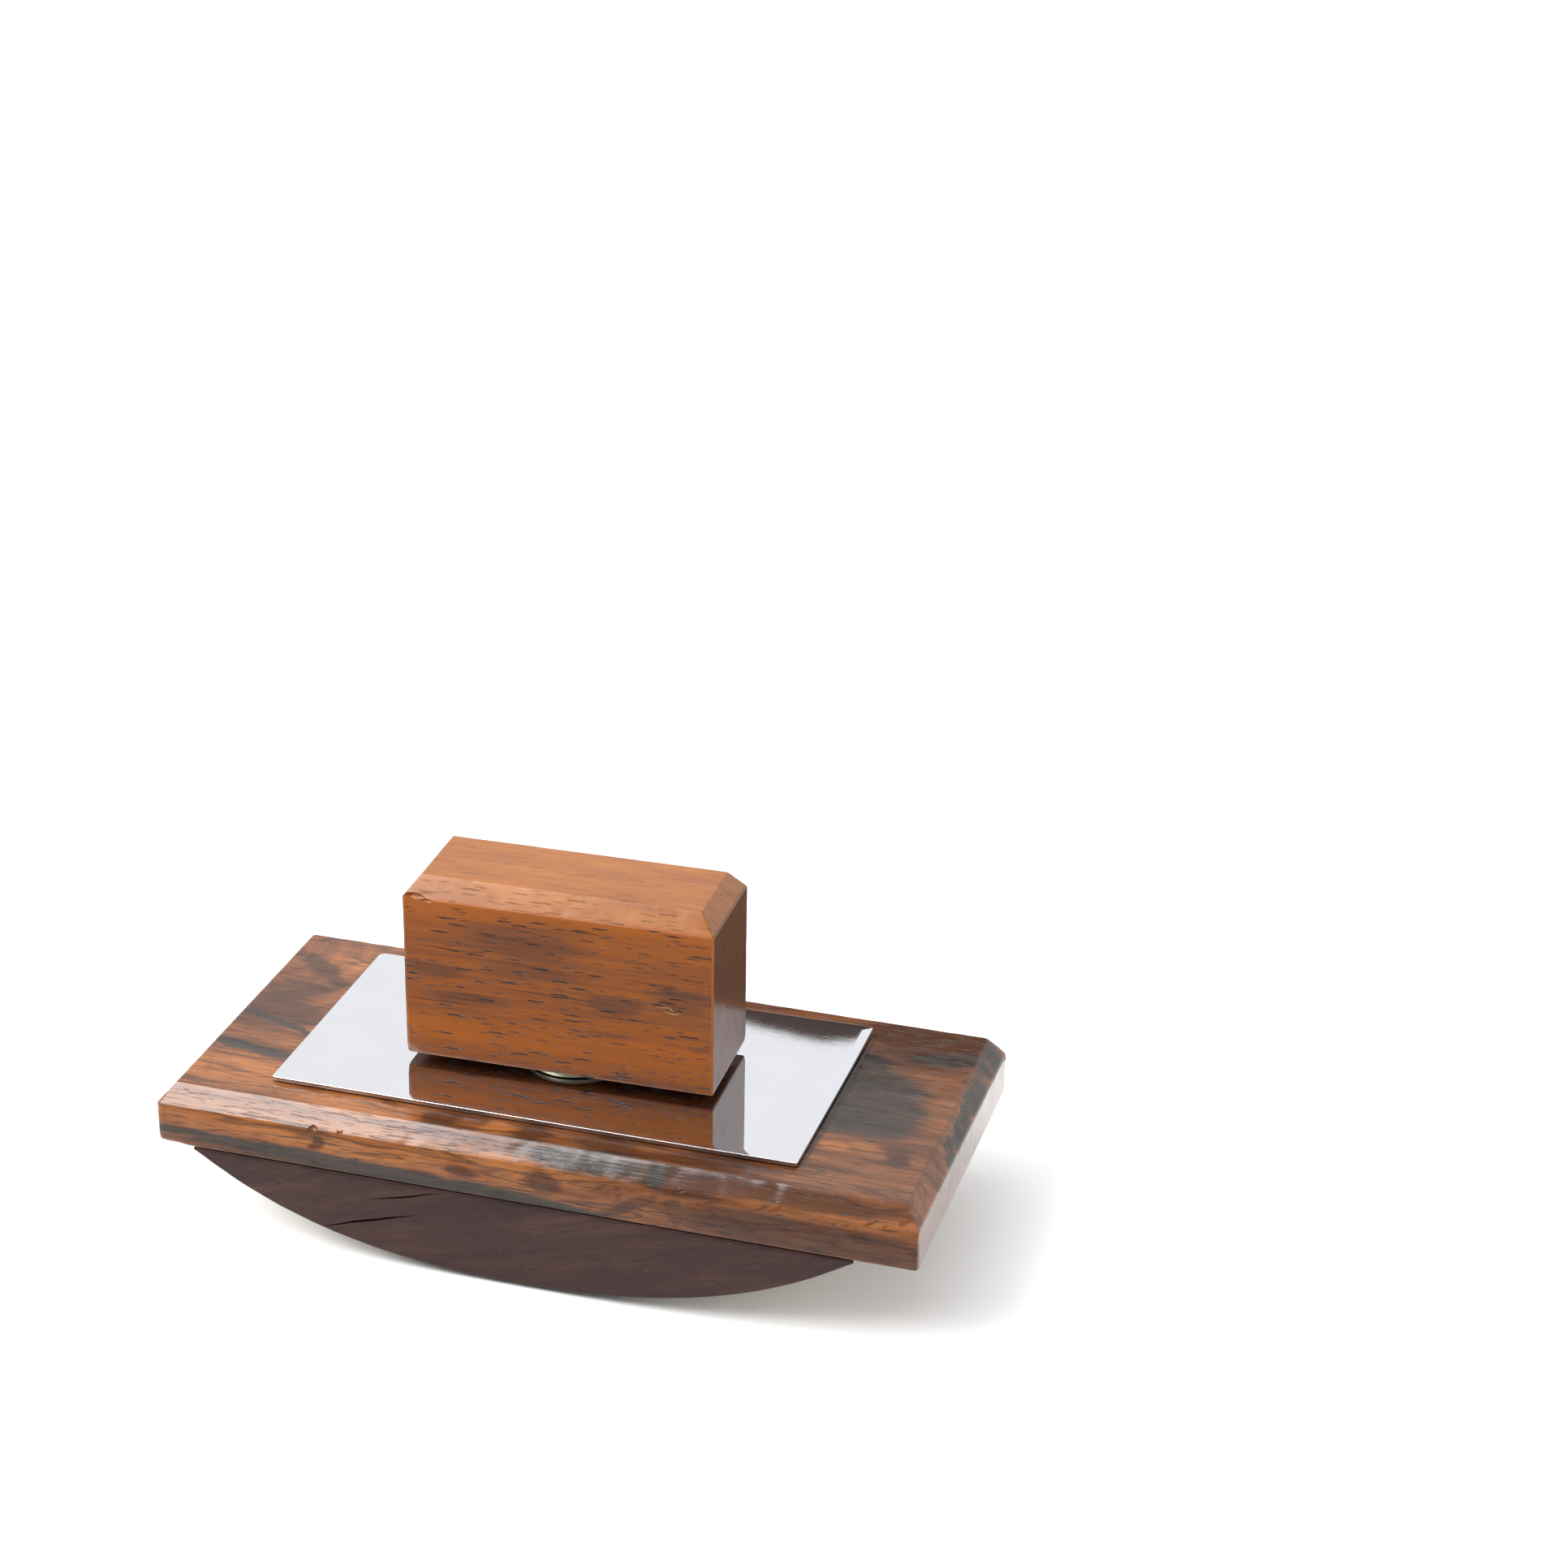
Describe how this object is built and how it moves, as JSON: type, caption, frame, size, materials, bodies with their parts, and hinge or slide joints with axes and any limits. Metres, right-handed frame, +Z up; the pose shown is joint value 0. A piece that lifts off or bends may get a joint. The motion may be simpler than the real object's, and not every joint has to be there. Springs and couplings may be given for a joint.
{
  "type": "rocker ink blotter",
  "caption": "Desk rocker blotter: curved wooden rocker holding a blotting paper strip, chamfered board, mirror plate and screw-on block handle.",
  "frame": {"origin": "under the middle of the outline seen from above, on the desk that the blotter rests on", "axes": "+X along the blotter's length, +Y across it away from the front face, +Z up through the handle"},
  "size_m": [0.165, 0.0778, 0.0778],
  "materials": {
    "rocker_wood": "dark purplish brown hardwood, worn satin lacquer",
    "rosewood": "orange-brown rosewood with black figure, gloss lacquer",
    "handle_wood": "amber hardwood with dark pores, gloss lacquer",
    "mirror_plate": "polished mirror plate, lightly scratched",
    "nickel": "tarnished nickel plate",
    "brass": "turned brass",
    "steel": "plain turned steel",
    "dowel_wood": "plain beech",
    "blotting_paper": "soft absorbent uncoated paper"
  },
  "bodies": {
    "rocker": {"rocker_block": "rocker_wood", "blotting_paper": "blotting_paper", "clamp_bolt": "steel", "bolt_washer": "steel", "locating_dowel_left": "dowel_wood", "locating_dowel_right": "dowel_wood"},
    "board": {"top_board": "rosewood", "chrome_plate": "mirror_plate"},
    "collar": {"collar": "nickel"},
    "handle": {"handle_block": "handle_wood", "handle_insert": "brass"}
  },
  "joints": [
    {"name": "collar_lift", "type": "slide", "parent": "rocker", "child": "collar", "axis": [0, 0, 1], "range_m": [0, 0.00425]},
    {"name": "handle_turn", "type": "hinge", "parent": "collar", "child": "handle", "pos_m": [-0.0028, 0, 0.037], "axis": [0, 0, 1], "range_deg": [0, 1530]},
    {"name": "board_lift", "type": "slide", "parent": "rocker", "child": "board", "axis": [0, 0, 1], "range_m": [0, 0.00213]}
  ],
  "couplings": [
    {"joint": "collar_lift", "follows": "handle_turn", "m_per_rad": 0.00015915},
    {"joint": "board_lift", "follows": "handle_turn", "m_per_rad": 0.000079577}
  ]
}
